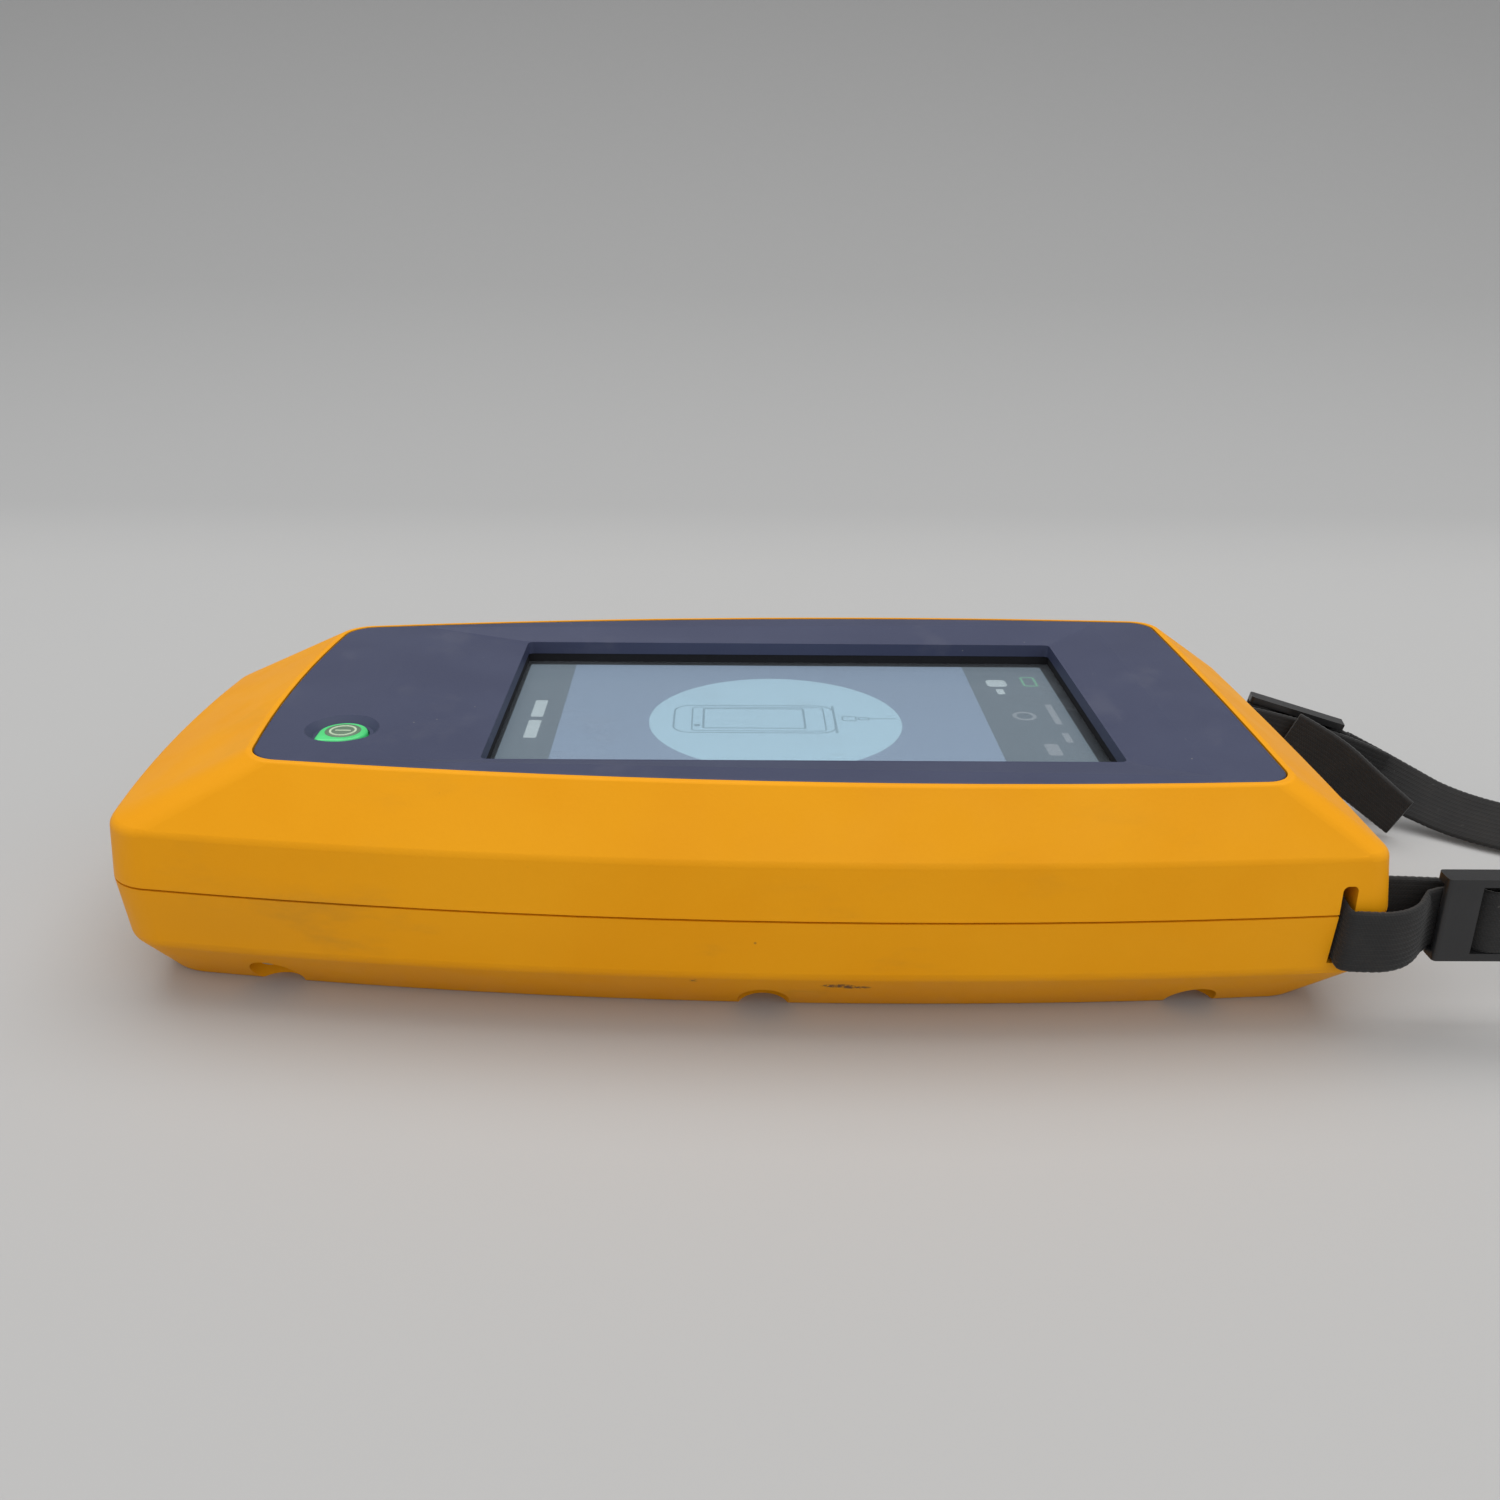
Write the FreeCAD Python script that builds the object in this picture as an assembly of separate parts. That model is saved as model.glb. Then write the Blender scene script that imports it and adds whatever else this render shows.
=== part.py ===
import FreeCAD, Part
import math
import os

# Handheld network cable tester: a two-shell moulded case with a touch screen, one sprung
# power button, sockets on the parting line and a webbing wrist strap.
# X runs along the case with its top end at +X, -Y is the case's right side, Z is up.
# The origin is on the resting surface, in the middle of the case's own box. All sizes in mm.

Vector = FreeCAD.Vector
os.makedirs("parts", exist_ok=True)

# Case
CASE_LENGTH = 197.0
CASE_HALF_WIDTH = 49.07
CASE_HEIGHT = 40.6
CASE_LEFT = -CASE_LENGTH / 2
CASE_RIGHT = CASE_LENGTH / 2
WIDEST_X = 27.5
SIDE_RADIUS = 714.0
LEFT_END_RADIUS = 290.0
RIGHT_END_RADIUS = 1700.0
WALL = 2.4
CHAMFER_TOP_Z = 10.5
CHAMFER_INSET = 11.3
PARTING_Z = 21.0
PARTING_GAP = 0.36
BAND_TOP_Z = 30.4

# Faceplate and screen
RIM_HALF_WIDTH = 42.9
RIM_LEFT = -77.9
RIM_RIGHT = 84.3
RIM_WIDEST_X = 35.6
RIM_WIDTH = 1.1
SEAM = 0.2
FACEPLATE_THICK = 2.1
DISH_DEPTH = 1.5
SCREEN_LEFT = -40.5
SCREEN_RIGHT = 60.7
SCREEN_HALF = 29.6
SKIRT = 1.8
DECK_BOTTOM_Z = 36.8
DECK_TOP_Z = 38.4
TOUCH_TOP_Z = 35.2
DISPLAY_SCREW_PLACES = [(-50.0, -26.0), (-50.0, 26.0), (69.0, -26.0), (69.0, 26.0)]

# Power button
BUTTON_X = -63.8
BUTTON_Y = -20.6
BUTTON_RADIUS = 3.9
BUTTON_BOARD_SCREW_PLACES = [(BUTTON_X - 5.4, BUTTON_Y + 5.0), (BUTTON_X + 5.4, BUTTON_Y - 5.0)]

# Circuit board and what stands on it
BOARD_Z = 19.8
BOARD_THICK = 1.6
BOARD_TOP_Z = BOARD_Z + BOARD_THICK
BOARD_HALF = 32.6
JACK_Z = 20.6
JACK_WIDTH = 16.0
JACK_HEIGHT = 13.4
JACK_LENGTH = 20.0
JACK_FACE_X = CASE_RIGHT - 1.6
SOCKET_WIDTH = 11.9
SOCKET_HEIGHT = 8.3
SOCKET_DEPTH = 14.0
USB_FACE_Y = 46.1
USB_A_X = 35.0
USB_SMALL_X = 54.0
SOCKET_LOW_Z = JACK_Z - SOCKET_HEIGHT / 2 - 0.6
BOARD_SCREW_PLACES = [(-62.0, -24.0), (-62.0, 24.0), (46.0, -26.0), (46.0, 26.0)]
BATTERY_RIBS = [(-60, -57, -20, 20), (40.4, 42.4, -18, 4), (-30, 20, 30.4, 32.0), (-30, 20, -32.0, -30.4)]

# Screws that hold the case together
CASE_SCREW_PLACES = [(3.9, 38.5), (73.0, 36.6), (-75.0, 32.4)]
COUNTERBORE_RADIUS = 4.15
COUNTERBORE_DEPTH = 7.5

# Strap
WEB_WIDTH = 10.0
WEB_THICK = 1.3
SLOT_WIDTH = 2.4
SLOT_X = 91.6
SLOT_END_Y = 38.8
SLOT_Z = 19.0
SLOT_HEIGHT = 13.8
SLOT_ROUND = 0.9
POST_WEB_Z = 18.0
BUCKLE_LENGTH = 19.5
BUCKLE_BAR_X = 11.5
BUCKLE_BAR_Y = 0.7
BUCKLE_BAR_RADIUS = 1.2
BUCKLE_HEIGHT = 14.0


def save(name, shape):
    shape.exportStep("parts/" + name + ".step")
    print(name, "solids", len(shape.Solids), "valid", shape.isValid(), "volume", round(shape.Volume, 1))


def block(x0, x1, y0, y1, z0, z1, corner=0.0):
    """A box between two corners, with its upright edges rounded if asked."""
    solid = Part.makeBox(x1 - x0, y1 - y0, z1 - z0, Vector(x0, y0, z0))
    if corner:
        upright = [e for e in solid.Edges if abs(e.Vertexes[0].X - e.Vertexes[1].X) < 0.001
                   and abs(e.Vertexes[0].Y - e.Vertexes[1].Y) < 0.001]
        solid = solid.makeFillet(corner, upright)
    return solid


def rod(x, y, z0, z1, radius):
    return Part.makeCylinder(radius, z1 - z0, Vector(x, y, z0))


def joined(solids):
    return solids[0].multiFuse(solids[1:]).removeSplitter() if len(solids) > 1 else solids[0]


def group(solids):
    return Part.makeCompound(solids)


def both_sides(places):
    return [(x, side * y) for x, y in places for side in (-1, 1)]


def edges_at(solid, z):
    return [e for e in solid.Edges if abs(e.BoundBox.ZMin - z) < 0.01 and abs(e.BoundBox.ZMax - z) < 0.01]


# ---- outlines: long side arcs, bowed ends and round corners, all tangent ----

def corner_centre(side_centre, side_radius, end_centre, end_radius, at_left):
    """Where the circles about the side's and the end's centres meet, in the +Y half."""
    across = end_centre[0] - side_centre[0]
    up = end_centre[1] - side_centre[1]
    apart = math.hypot(across, up)
    along = (side_radius ** 2 - end_radius ** 2 + apart ** 2) / (2 * apart)
    off = math.sqrt(side_radius ** 2 - along ** 2)
    foot = (side_centre[0] + along * across / apart, side_centre[1] + along * up / apart)
    turn = 1 if (off * across > 0) else -1
    first = (foot[0] - turn * off * up / apart, foot[1] + turn * off * across / apart)
    second = (foot[0] + turn * off * up / apart, foot[1] - turn * off * across / apart)
    upper = [p for p in (first, second) if p[1] > 0 and (p[0] < 0) == at_left]
    return upper[0]


def beyond(centre, point, radius):
    """The point at this radius from the centre, on the way through another point."""
    reach = math.hypot(point[0] - centre[0], point[1] - centre[1])
    return (centre[0] + (point[0] - centre[0]) * radius / reach,
            centre[1] + (point[1] - centre[1]) * radius / reach)


def outline(z, half_width, widest_x, left, right, left_corner, right_corner):
    side_centre = (widest_x, half_width - SIDE_RADIUS)
    corners = []
    for end_x, bow, round_radius, at_left in ((left, LEFT_END_RADIUS, left_corner, True),
                                              (right, -RIGHT_END_RADIUS, right_corner, False)):
        end_centre = (end_x + bow, 0.0)
        centre = corner_centre(side_centre, SIDE_RADIUS - round_radius,
                               end_centre, abs(bow) - round_radius, at_left)
        on_side = beyond(side_centre, centre, SIDE_RADIUS)
        on_end = beyond(end_centre, centre, abs(bow))
        halfway = ((on_side[0] + on_end[0]) / 2, (on_side[1] + on_end[1]) / 2)
        corners.append((on_side, beyond(centre, halfway, round_radius), on_end))
    (left_side, left_mid, left_end), (right_side, right_mid, right_end) = corners

    def at(point, mirror=1):
        return Vector(point[0], mirror * point[1], z)

    arcs = [
        Part.Arc(at(left_side), Vector(widest_x, half_width, z), at(right_side)),
        Part.Arc(at(right_side), at(right_mid), at(right_end)),
        Part.Arc(at(right_end), Vector(right, 0, z), at(right_end, -1)),
        Part.Arc(at(right_end, -1), at(right_mid, -1), at(right_side, -1)),
        Part.Arc(at(right_side, -1), Vector(widest_x, -half_width, z), at(left_side, -1)),
        Part.Arc(at(left_side, -1), at(left_mid, -1), at(left_end, -1)),
        Part.Arc(at(left_end, -1), Vector(left, 0, z), at(left_end)),
        Part.Arc(at(left_end), at(left_mid), at(left_side)),
    ]
    return Part.Wire([arc.toShape() for arc in arcs])


def band_outline(z, inset, left_inset, right_inset, left_corner, right_corner):
    return outline(z, CASE_HALF_WIDTH - inset, WIDEST_X, CASE_LEFT + left_inset,
                   CASE_RIGHT - right_inset, left_corner, right_corner)


def rim_outline(z, inset, left_corner, right_corner):
    return outline(z, RIM_HALF_WIDTH - inset, RIM_WIDEST_X, RIM_LEFT + inset,
                   RIM_RIGHT - inset, left_corner, right_corner)


def raised(wire, height):
    return Part.Face(wire).extrude(Vector(0, 0, height))


# ---- outer form and cavity ----

def outer_form():
    """Flat foot, lower chamfer, near-upright band and the long slopes up to the rim."""
    form = Part.makeLoft([
        band_outline(0.0, CHAMFER_INSET, 2.0, 4.0, 9.0, 9.0),
        band_outline(CHAMFER_TOP_Z, 1.5, -0.7, -0.4, 8.0, 5.0),
        band_outline(PARTING_Z, 0.0, -1.75, -1.5, 8.5, 4.3),
        band_outline(BAND_TOP_Z, 0.2, -1.15, -0.15, 9.0, 4.5),
        rim_outline(CASE_HEIGHT, 0.0, 6.5, 5.0),
    ], True, True)
    for z, radius in ((BAND_TOP_Z, 1.8), (CHAMFER_TOP_Z, 3.0), (0.0, 1.2), (CASE_HEIGHT, 0.6)):
        form = form.makeFillet(radius, edges_at(form, z))
    return form


def cavity_form():
    return Part.makeLoft([
        band_outline(WALL, CHAMFER_INSET + 1.2, 4.6, 6.4, 8.0, 8.0),
        band_outline(CHAMFER_TOP_Z + 0.6, 4.0, 1.9, 2.2, 6.5, 3.5),
        band_outline(BAND_TOP_Z - 0.4, WALL + 0.2, WALL - 1.1, WALL - 0.1, 7.0, 3.0),
        outline(DECK_BOTTOM_Z, RIM_HALF_WIDTH - 0.5, RIM_WIDEST_X,
                RIM_LEFT - 3.6, RIM_RIGHT + 1.2, 6.0, 4.0),
    ], True, True)


def strap_tunnel(side, clearance=0.0):
    """The L-shaped way for the webbing round a top corner, open at the side and the end face."""
    half = SLOT_WIDTH / 2 + clearance
    low = SLOT_Z - SLOT_HEIGHT / 2 - clearance
    high = SLOT_Z + SLOT_HEIGHT / 2 + clearance
    inner = SLOT_END_Y - half
    across = block(SLOT_X - half, SLOT_X + half, inner, 60, low, high)
    across = across.makeFillet(SLOT_ROUND, [e for e in edges_at(across, high) if e.BoundBox.XLength < 0.01])
    along = block(SLOT_X - half, 110, inner, SLOT_END_Y + half, low, high)
    tunnel = across.fuse(along)
    return tunnel if side > 0 else tunnel.mirror(Vector(0, 0, 0), Vector(0, 1, 0))


def strap_corner(side, low, high):
    """Solid material round a strap tunnel, between two heights."""
    y0, y1 = sorted((side * (SLOT_END_Y - 4.4), side * 60))
    return block(SLOT_X - 4.2, 110, y0, y1, low, high)


def jack_window():
    half = JACK_WIDTH / 2 + 0.3
    tall = JACK_HEIGHT / 2 + 0.3
    return block(CASE_RIGHT - 8, 110, -half, half, JACK_Z - tall, JACK_Z + tall)


OUTER = outer_form()
CAVITY = cavity_form()
SCREW_PLACES = both_sides(CASE_SCREW_PLACES)

# ---- lower shell ----

def bottom_case():
    below = block(-150, 150, -80, 80, -10, PARTING_Z - PARTING_GAP / 2)
    solid_part = OUTER.common(below)
    extra = [rod(x, y, -1, COUNTERBORE_DEPTH + 2, COUNTERBORE_RADIUS + 1.8) for x, y in SCREW_PLACES]
    extra += [rod(x, y, 1, PARTING_Z - PARTING_GAP / 2, 3.2) for x, y in SCREW_PLACES]
    extra += [strap_corner(side, 8, PARTING_Z - PARTING_GAP / 2) for side in (-1, 1)]
    extra += [rod(x, y, 1, BOARD_Z, 3.2) for x, y in BOARD_SCREW_PLACES]
    for x0, x1, y0, y1 in BATTERY_RIBS:
        extra.append(block(x0, x1, y0, y1, 1, 12))
    kept = joined(extra).common(solid_part)
    shell = solid_part.cut(CAVITY).fuse(kept)
    for x, y in SCREW_PLACES:
        shell = shell.cut(rod(x, y, -1, COUNTERBORE_DEPTH, COUNTERBORE_RADIUS))
        shell = shell.cut(rod(x, y, 0, 40, 1.75))
    for x, y in BOARD_SCREW_PLACES:
        shell = shell.cut(rod(x, y, 13.5, 40, 1.2))
    for side in (-1, 1):
        shell = shell.cut(strap_tunnel(side))
    return shell.cut(jack_window()).removeSplitter()


# ---- upper shell ----

def top_case():
    above = block(-150, 150, -80, 80, PARTING_Z + PARTING_GAP / 2, 60)
    solid_part = OUTER.common(above)
    extra = [rod(x, y, PARTING_Z + PARTING_GAP / 2, DECK_BOTTOM_Z + 0.5, 3.2) for x, y in SCREW_PLACES]
    extra += [strap_corner(side, 20, 29) for side in (-1, 1)]
    extra += [rod(x, y, 30.4, DECK_BOTTOM_Z + 0.5, 2.6) for x, y in DISPLAY_SCREW_PLACES]
    extra += [rod(x, y, 32.0, DECK_BOTTOM_Z + 0.5, 2.0) for x, y in BUTTON_BOARD_SCREW_PLACES]
    kept = joined(extra).common(solid_part)
    shell = solid_part.cut(CAVITY).fuse(kept)
    seat = raised(rim_outline(DECK_TOP_Z, RIM_WIDTH - SEAM, 5.6, 4.6), 10)
    shell = shell.cut(seat)
    shell = shell.cut(block(SCREEN_LEFT - SKIRT - 0.3, SCREEN_RIGHT + SKIRT + 0.3, -SCREEN_HALF - SKIRT - 0.3,
                            SCREEN_HALF + SKIRT + 0.3, 30, 60, 2.0))
    shell = shell.cut(rod(BUTTON_X, BUTTON_Y, 30, 60, 6.2))
    for x, y in SCREW_PLACES:
        shell = shell.cut(rod(x, y, 20, 28.4, 2.05))
    for x, y in DISPLAY_SCREW_PLACES:
        shell = shell.cut(rod(x, y, 30, 36.0, 1.0))
    for x, y in BUTTON_BOARD_SCREW_PLACES:
        shell = shell.cut(rod(x, y, 30, 36.4, 0.8))
    for side in (-1, 1):
        shell = shell.cut(strap_tunnel(side))
    shell = shell.cut(jack_window())
    shell = shell.cut(block(USB_A_X - 7.0, USB_A_X + 7.0, 40, 60, BOARD_TOP_Z - 0.3, BOARD_TOP_Z + 6.2))
    shell = shell.cut(block(USB_SMALL_X - 4.6, USB_SMALL_X + 4.6, 40, 60,
                            BOARD_TOP_Z - 0.3, BOARD_TOP_Z + 3.7))
    return shell.removeSplitter()


def case_gasket():
    """Flat silicone seal that fills the parting gap a little inside the outer skin."""
    low = PARTING_Z - PARTING_GAP / 2
    ring = raised(band_outline(low, 1.1, 1.1, 1.1, 8.2, 3.8), PARTING_GAP)
    ring = ring.cut(raised(band_outline(low - 1, 2.3, 2.3, 2.3, 7.2, 3.0), 3))
    for side in (-1, 1):
        ring = ring.cut(strap_tunnel(side, 1.0))
    half = JACK_WIDTH / 2 + 0.6
    return ring.cut(block(80, 110, -half, half, 0, 40))


# ---- faceplate, screen and display ----

def petal(z0, z1, grow):
    """The button's outline: a disc with one corner drawn out towards the case's corner."""
    radius = BUTTON_RADIUS + grow
    disc = rod(BUTTON_X, BUTTON_Y, z0, z1, radius)
    corner = block(BUTTON_X - radius, BUTTON_X, BUTTON_Y - radius, BUTTON_Y, z0, z1)
    point = [e for e in corner.Edges if abs(e.CenterOfMass.x - (BUTTON_X - radius)) < 0.001
             and abs(e.CenterOfMass.y - (BUTTON_Y - radius)) < 0.001]
    return disc.fuse(corner.makeFillet(1.2 + grow, point)).removeSplitter()


def bezel_faceplate():
    base_z = CASE_HEIGHT - FACEPLATE_THICK
    plate = raised(rim_outline(base_z, RIM_WIDTH, 5.4, 4.4), FACEPLATE_THICK)
    plate = plate.makeFillet(0.35, edges_at(plate, CASE_HEIGHT))
    skirt = block(SCREEN_LEFT - SKIRT, SCREEN_RIGHT + SKIRT, -SCREEN_HALF - SKIRT, SCREEN_HALF + SKIRT,
                  DECK_BOTTOM_Z, base_z + 0.2, 1.8)
    plate = plate.fuse(skirt)
    half = SCREEN_HALF + 0.4
    lip_z = CASE_HEIGHT - DISH_DEPTH
    low = Part.makePolygon([Vector(SCREEN_LEFT - 0.4, -half, lip_z), Vector(SCREEN_RIGHT + 0.4, -half, lip_z),
                            Vector(SCREEN_RIGHT + 0.4, half, lip_z), Vector(SCREEN_LEFT - 0.4, half, lip_z),
                            Vector(SCREEN_LEFT - 0.4, -half, lip_z)])
    wide = RIM_HALF_WIDTH - RIM_WIDTH - 3.2
    high_z = CASE_HEIGHT + 0.001
    far = SCREEN_RIGHT + 10.5
    near = SCREEN_LEFT - 20
    high = Part.makePolygon([Vector(near, -wide + 4.6, high_z), Vector(far, -wide, high_z),
                             Vector(far, wide, high_z),
                             Vector(near, wide - 4.6, high_z), Vector(near, -wide + 4.6, high_z)])
    plate = plate.cut(Part.makeLoft([low, high], True, True))
    window = block(SCREEN_LEFT, SCREEN_RIGHT, -SCREEN_HALF, SCREEN_HALF, 30, 60, 1.0)
    plate = plate.cut(window)
    dish = Part.makeCone(4.75, 6.2, 1.45, Vector(BUTTON_X, BUTTON_Y, CASE_HEIGHT - 1.2))
    return plate.cut(dish).cut(petal(30, 60, 0.25)).removeSplitter()


def frame_between(x0, x1, half, x2, x3, inner_half, z0, z1):
    return block(x0, x1, -half, half, z0, z1, 1.0).cut(block(x2, x3, -inner_half, inner_half, z0 - 1, z1 + 1))


def lcd_panel():
    return block(SCREEN_LEFT - 2.5, SCREEN_RIGHT + 2.0, -32.4, 32.4, 32.2, 34.4)


def backlight_tray():
    """Folded steel tray that holds the light guide under the panel."""
    tray = block(SCREEN_LEFT - 2.9, SCREEN_RIGHT + 2.4, -32.8, 32.8, 30.5, 33.8)
    return tray.cut(block(SCREEN_LEFT - 2.5, SCREEN_RIGHT + 2.0, -32.4, 32.4, 32.2, 40))


def display_bracket():
    """Stamped steel frame with four ears, screwed up to the posts under the deck."""
    plate = block(SCREEN_LEFT - 3.5, SCREEN_RIGHT + 3.0, -32.4, 32.4, 29.6, 30.4, 1.0)
    plate = plate.cut(block(SCREEN_LEFT + 8, SCREEN_RIGHT - 8, -24, 24, 20, 40, 3.0))
    for x, y in DISPLAY_SCREW_PLACES:
        ear_end = x - 3.4 if x < 0 else x + 3.4
        x0, x1 = sorted((ear_end, x + (10 if x < 0 else -10)))
        plate = plate.fuse(block(x0, x1, y - 3.4, y + 3.4, 29.6, 30.4, 1.0))
    for x, y in DISPLAY_SCREW_PLACES:
        plate = plate.cut(rod(x, y, 20, 40, 1.15))
    return plate.removeSplitter()


def screw_up(x, y, seat_z, head_radius, head_height, shank_radius, tip_z):
    """Pan-head screw driven upwards: its head hangs below the seat, with a hex recess."""
    head = rod(x, y, seat_z - head_height, seat_z, head_radius)
    lower_rim = [e for e in head.Edges if e.BoundBox.ZMax < seat_z - head_height + 0.01]
    head = head.makeFillet(head_height * 0.35, lower_rim)
    hexagon = Part.makePolygon([
        Vector(x + head_radius * 0.5 * math.cos(math.radians(60 * i)),
               y + head_radius * 0.5 * math.sin(math.radians(60 * i)), seat_z - head_height - 1) for i in range(7)])
    recess = Part.Face(hexagon).extrude(Vector(0, 0, 1 + head_height * 0.6))
    return head.fuse(rod(x, y, seat_z - 0.01, tip_z, shank_radius)).cut(recess)


def screw_down(x, y, seat_z, head_radius, head_height, shank_radius, tip_z):
    upright = screw_up(x, y, 0, head_radius, head_height, shank_radius, seat_z - tip_z)
    upright.rotate(Vector(x, y, 0), Vector(1, 0, 0), 180)
    upright.translate(Vector(0, 0, seat_z))
    return upright


# ---- button ----

def power_button_cap():
    crown_z = CASE_HEIGHT - 0.55
    crown = petal(38.0, crown_z, 0.0)
    crown = crown.makeFillet(0.5, edges_at(crown, crown_z))
    flange = rod(BUTTON_X, BUTTON_Y, 37.2, 38.1, 5.6)
    stem = rod(BUTTON_X, BUTTON_Y, 35.6, 37.3, 2.0)
    return joined([crown, flange, stem])


def power_switch():
    body = block(BUTTON_X - 3.0, BUTTON_X + 3.0, BUTTON_Y - 3.0, BUTTON_Y + 3.0, 31.6, 34.4, 0.3)
    legs = [block(BUTTON_X + sx - 0.35, BUTTON_X + sx + 0.35, BUTTON_Y + sy - 0.35, BUTTON_Y + sy + 0.35, 29.6, 31.7)
            for sx in (-2.3, 2.3) for sy in (-2.3, 2.3)]
    return joined([body] + legs).cut(rod(BUTTON_X, BUTTON_Y, 32.4, 40, 1.78))


def switch_plunger():
    return rod(BUTTON_X, BUTTON_Y, 33.1, 35.6, 1.7)


def button_board():
    board = block(BUTTON_X - 7.5, BUTTON_X + 7.5, BUTTON_Y - 7.0, BUTTON_Y + 7.0, 30.4, 31.6, 1.0)
    for x, y in BUTTON_BOARD_SCREW_PLACES:
        board = board.cut(rod(x, y, 20, 40, 0.95))
    for sx in (-2.3, 2.3):
        for sy in (-2.3, 2.3):
            board = board.cut(block(BUTTON_X + sx - 0.4, BUTTON_X + sx + 0.4,
                                    BUTTON_Y + sy - 0.4, BUTTON_Y + sy + 0.4, 20, 40))
    return board


# ---- main board ----

def main_board():
    board = block(-67, JACK_FACE_X - 2.6, -BOARD_HALF, BOARD_HALF, BOARD_Z, BOARD_TOP_Z, 2.0)
    board = board.fuse(block(USB_A_X - 9, USB_SMALL_X + 8, BOARD_HALF - 6, 42.6, BOARD_Z, BOARD_TOP_Z, 1.5))
    jack_back = JACK_FACE_X - JACK_LENGTH - 0.2
    board = board.cut(block(jack_back, 110, -JACK_WIDTH / 2 - 0.2, JACK_WIDTH / 2 + 0.2, 0, 40))
    for x, y in BOARD_SCREW_PLACES:
        board = board.cut(rod(x, y, 0, 40, 1.4))
    return board.removeSplitter()


def usb_shell(x, width, height, depth):
    outside = block(x - width / 2, x + width / 2, USB_FACE_Y - depth, USB_FACE_Y,
                    BOARD_TOP_Z, BOARD_TOP_Z + height)
    inside = block(x - width / 2 + 0.35, x + width / 2 - 0.35, USB_FACE_Y - depth + 0.6, USB_FACE_Y + 1,
                   BOARD_TOP_Z + 0.35, BOARD_TOP_Z + height - 0.35)
    return outside.cut(inside)


def rj45_shield():
    """Folded tin shell round the jack, open at the socket's mouth."""
    half = JACK_WIDTH / 2
    low = JACK_Z - JACK_HEIGHT / 2
    high = JACK_Z + JACK_HEIGHT / 2
    shell = block(JACK_FACE_X - JACK_LENGTH, JACK_FACE_X, -half, half, low, high)
    return shell.cut(block(JACK_FACE_X - JACK_LENGTH + 0.5, 110,
                           -half + 0.5, half - 0.5, low + 0.5, high - 0.5))


def socket_space(z0, z1, half, depth):
    return block(JACK_FACE_X - depth, 110, -half, half, z0, z1)


def rj45_housing():
    half = JACK_WIDTH / 2 - 0.5
    low = JACK_Z - JACK_HEIGHT / 2 + 0.5
    high = JACK_Z + JACK_HEIGHT / 2 - 0.5
    body = block(JACK_FACE_X - JACK_LENGTH + 0.5, JACK_FACE_X, -half, half, low, high)
    body = body.cut(socket_space(SOCKET_LOW_Z, SOCKET_LOW_Z + SOCKET_HEIGHT, SOCKET_WIDTH / 2, SOCKET_DEPTH))
    return body.cut(socket_space(SOCKET_LOW_Z - 1.6, SOCKET_LOW_Z + 1, 3.2, SOCKET_DEPTH))


def rj45_contacts():
    """Eight sprung wires that lean back down from the roof of the socket."""
    top = SOCKET_LOW_Z + SOCKET_HEIGHT
    wires = []
    for i in range(8):
        y = (i - 3.5) * 1.02
        front = JACK_FACE_X - 3.0
        back = JACK_FACE_X - 11.5
        path = Part.makePolygon([Vector(front, y - 0.2, top), Vector(back, y - 0.2, top - 3.0),
                                 Vector(back, y - 0.2, top - 2.6), Vector(front - 1.4, y - 0.2, top),
                                 Vector(front, y - 0.2, top)])
        wires.append(Part.Face(path).extrude(Vector(0, 0.4, 0)))
    return group(wires)


def display_flex():
    """Flat ribbon from the display, folded back under itself to the board's connector."""
    left = SCREEN_LEFT - 2.9
    thick = 0.3
    outer = [Vector(left, -10, 31.6), Vector(left - 7, -10, 31.6),
             Vector(left - 7, -10, 22.4), Vector(left - 3, -10, 22.4),
             Vector(left - 3, -10, 22.4 + thick), Vector(left - 7 + thick, -10, 22.4 + thick),
             Vector(left - 7 + thick, -10, 31.6 - thick), Vector(left, -10, 31.6 - thick),
             Vector(left, -10, 31.6)]
    return Part.Face(Part.makePolygon(outer)).extrude(Vector(0, 20, 0))


# ---- strap ----

def smooth_path(points, radii=None):
    """Straight runs joined by tangent arcs. With no radii given, each arc is as large as its runs allow."""
    points = [Vector(*p) for p in points]
    edges = []
    used = []
    start = points[0]
    for i in range(1, len(points) - 1):
        before = points[i] - points[i - 1]
        after = points[i + 1] - points[i]
        turn = before.getAngle(after)
        shorter = min(before.Length, after.Length)
        radius = radii[i - 1] if radii else 0.45 * shorter / math.tan(turn / 2)
        back = radius * math.tan(turn / 2)
        before.normalize()
        after.normalize()
        arc_start = points[i] - before * back
        arc_end = points[i] + after * back
        bisector = after - before
        bisector.normalize()
        arc_middle = points[i] + bisector * (radius / math.cos(turn / 2) - radius)
        if (arc_start - start).Length > 0.001:
            edges.append(Part.LineSegment(start, arc_start).toShape())
        edges.append(Part.Arc(arc_start, arc_middle, arc_end).toShape())
        start = arc_end
        used.append(round(radius, 1))
    edges.append(Part.LineSegment(start, points[-1]).toShape())
    return Part.Wire(edges), used


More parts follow.
